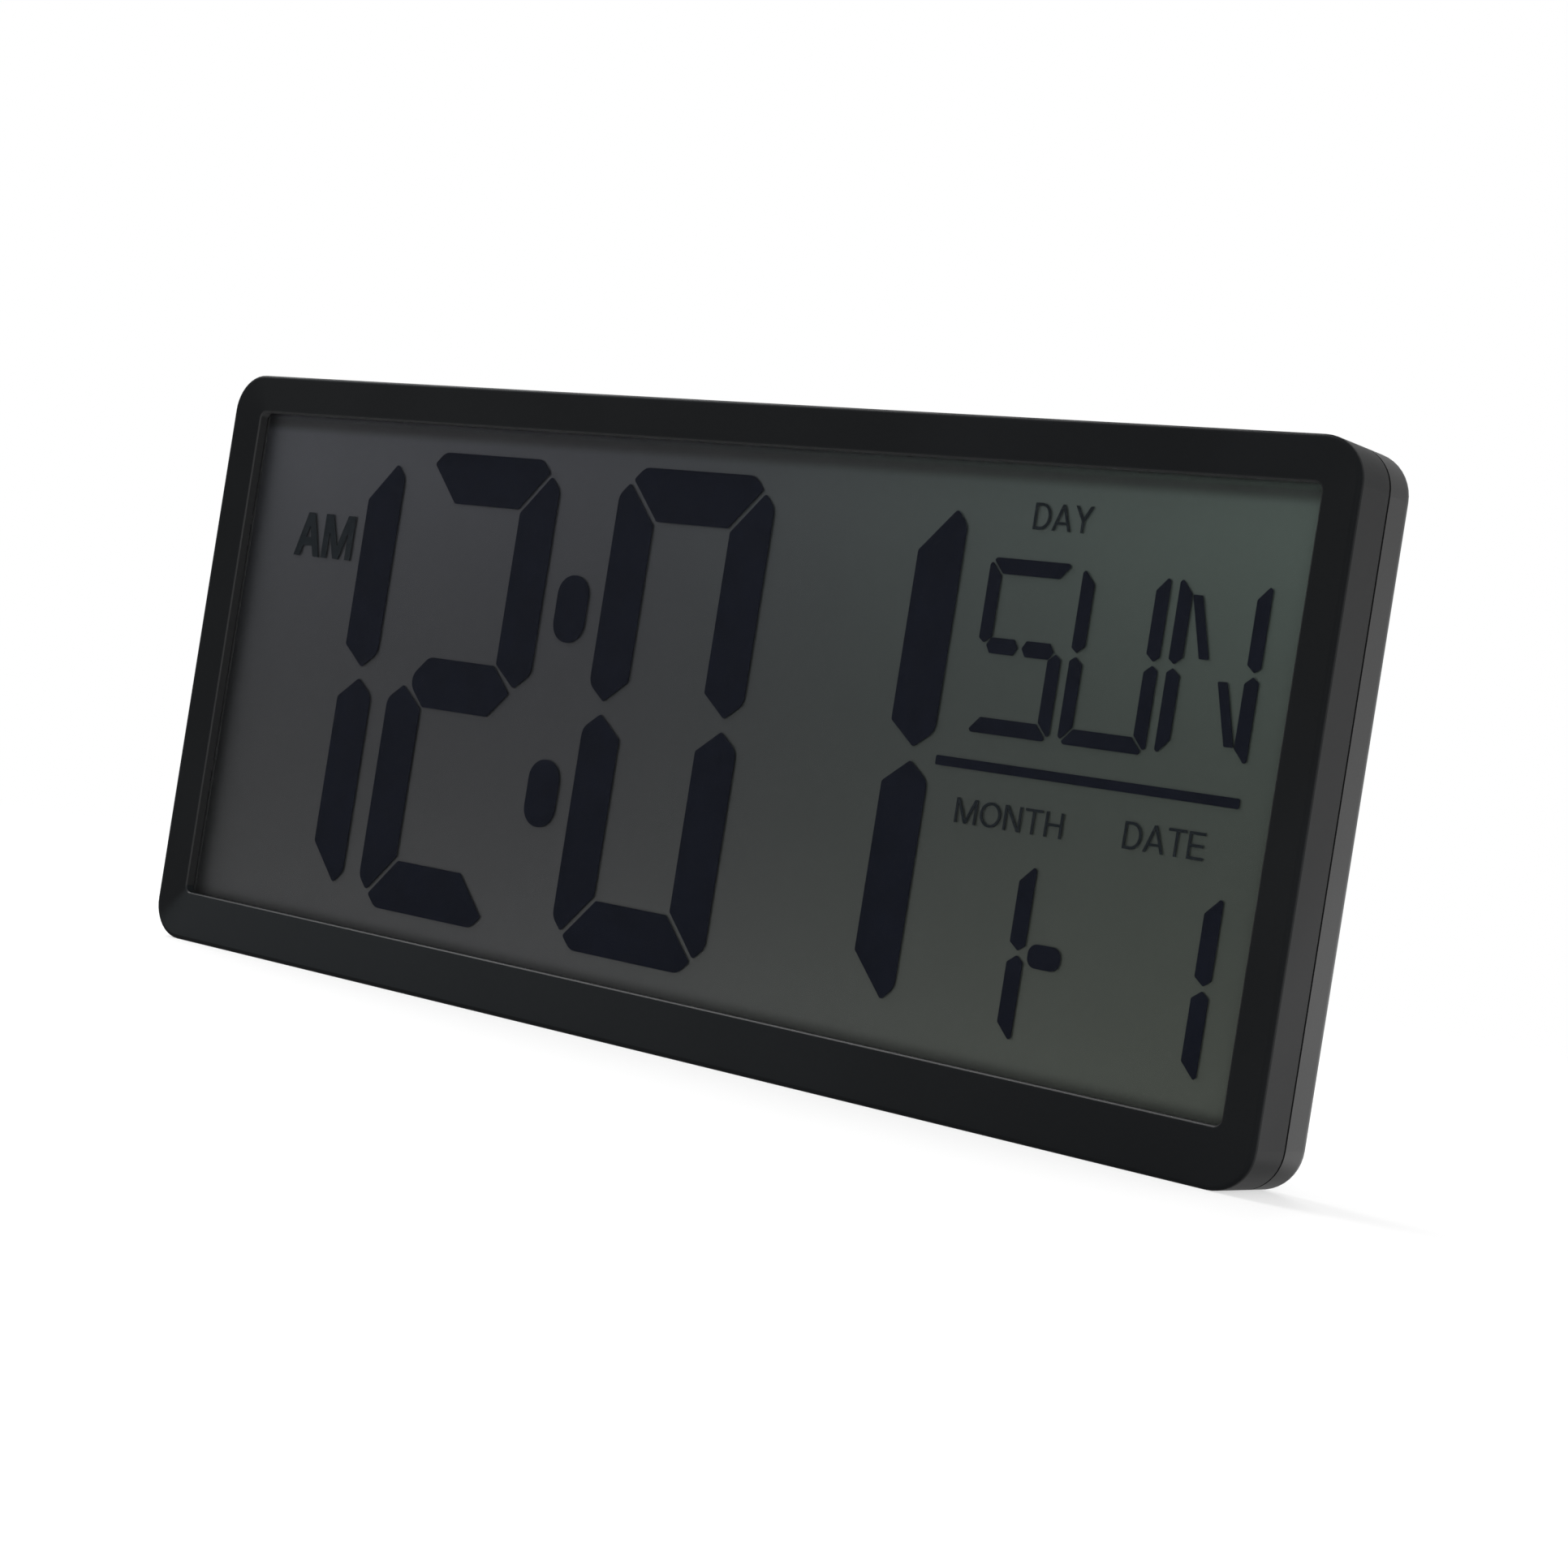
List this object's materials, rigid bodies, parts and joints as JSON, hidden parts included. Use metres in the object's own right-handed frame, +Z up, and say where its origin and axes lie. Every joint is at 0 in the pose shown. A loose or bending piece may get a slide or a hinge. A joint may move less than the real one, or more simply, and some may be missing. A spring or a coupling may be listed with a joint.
{
  "type": "digital wall clock",
  "caption": "Wide black digital clock with a large segment display in a dished bezel, keyholes for the wall, a fold-out foot, rear push buttons and a battery door.",
  "frame": {"origin": "centre of the flat back, in the plane that lies against a wall", "axes": "+X to the right as the display is read, +Y out of the back into the wall, +Z up"},
  "size_m": [0.3654, 0.026, 0.165],
  "materials": {
    "case_black": "black moulded plastic with a fine satin texture",
    "polarizer_film": "matte anti-glare film",
    "lcd_glass": "thin clear display glass",
    "seal_resin": "cured sealant",
    "lcd_dark": "dark liquid-crystal strokes",
    "reflector_foil": "grey-green satin reflector foil",
    "zebra_rubber": "striped conductive silicone",
    "tray_plastic": "natural white moulded plastic",
    "screw_steel": "zinc-plated steel",
    "board_laminate": "green solder mask on glass-fibre laminate",
    "chip_resin": "black resin drop",
    "crystal_can": "plated metal can",
    "capacitor_ceramic": "ceramic chip",
    "switch_plastic": "black moulded plastic",
    "cell_jacket": "printed metal jacket, no lettering",
    "contact_nickel": "nickel-plated spring strip",
    "lead_red": "red wire insulation",
    "lead_black": "black wire insulation",
    "button_grey": "dark grey moulded plastic"
  },
  "bodies": {
    "clock_case": {"front_frame": "case_black", "rear_cover": "case_black", "lcd_front_polarizer": "polarizer_film", "lcd_front_glass": "lcd_glass", "lcd_seal": "seal_resin", "time_segments": "lcd_dark", "calendar_segments": "lcd_dark", "lcd_rear_glass": "lcd_glass", "lcd_reflector": "reflector_foil", "zebra_strip": "zebra_rubber", "display_tray": "tray_plastic", "tray_screws": "screw_steel", "main_board": "board_laminate", "driver_chip": "chip_resin", "quartz_crystal": "crystal_can", "capacitors": "capacitor_ceramic", "tact_switches": "switch_plastic", "board_screws": "screw_steel", "case_screws": "screw_steel", "battery_cells": "cell_jacket", "battery_bridge_contact": "contact_nickel", "positive_contact": "contact_nickel", "negative_contact": "contact_nickel", "positive_lead": "lead_red", "negative_lead": "lead_black", "stand_hinge_pin": "screw_steel"},
    "stand": {"stand_foot": "case_black"},
    "battery_lid": {"battery_door": "case_black"},
    "set_key": {"set_button": "button_grey", "set_switch_plunger": "switch_plastic"},
    "plus_key": {"plus_button": "button_grey", "plus_switch_plunger": "switch_plastic"},
    "minus_key": {"minus_button": "button_grey", "minus_switch_plunger": "switch_plastic"},
    "hour_mode_key": {"hour_mode_button": "button_grey", "hour_mode_switch_plunger": "switch_plastic"}
  },
  "joints": [
    {"name": "stand_fold", "type": "hinge", "parent": "clock_case", "child": "stand", "pos_m": [0, -0.0019, -0.0111], "axis": [1, 0, 0], "range_deg": [0, 25]},
    {"name": "battery_door_swing", "type": "hinge", "parent": "clock_case", "child": "battery_lid", "pos_m": [0, -0.0012, 0.0537], "axis": [1, 0, 0], "range_deg": [0, 75]},
    {"name": "set_press", "type": "slide", "parent": "clock_case", "child": "set_key", "axis": [0, -1, 0], "range_m": [0, 0.0005], "stiffness_N_per_m": 400},
    {"name": "plus_press", "type": "slide", "parent": "clock_case", "child": "plus_key", "axis": [0, -1, 0], "range_m": [0, 0.0005], "stiffness_N_per_m": 400},
    {"name": "minus_press", "type": "slide", "parent": "clock_case", "child": "minus_key", "axis": [0, -1, 0], "range_m": [0, 0.0005], "stiffness_N_per_m": 400},
    {"name": "hour_mode_press", "type": "slide", "parent": "clock_case", "child": "hour_mode_key", "axis": [0, -1, 0], "range_m": [0, 0.0005], "stiffness_N_per_m": 400}
  ]
}
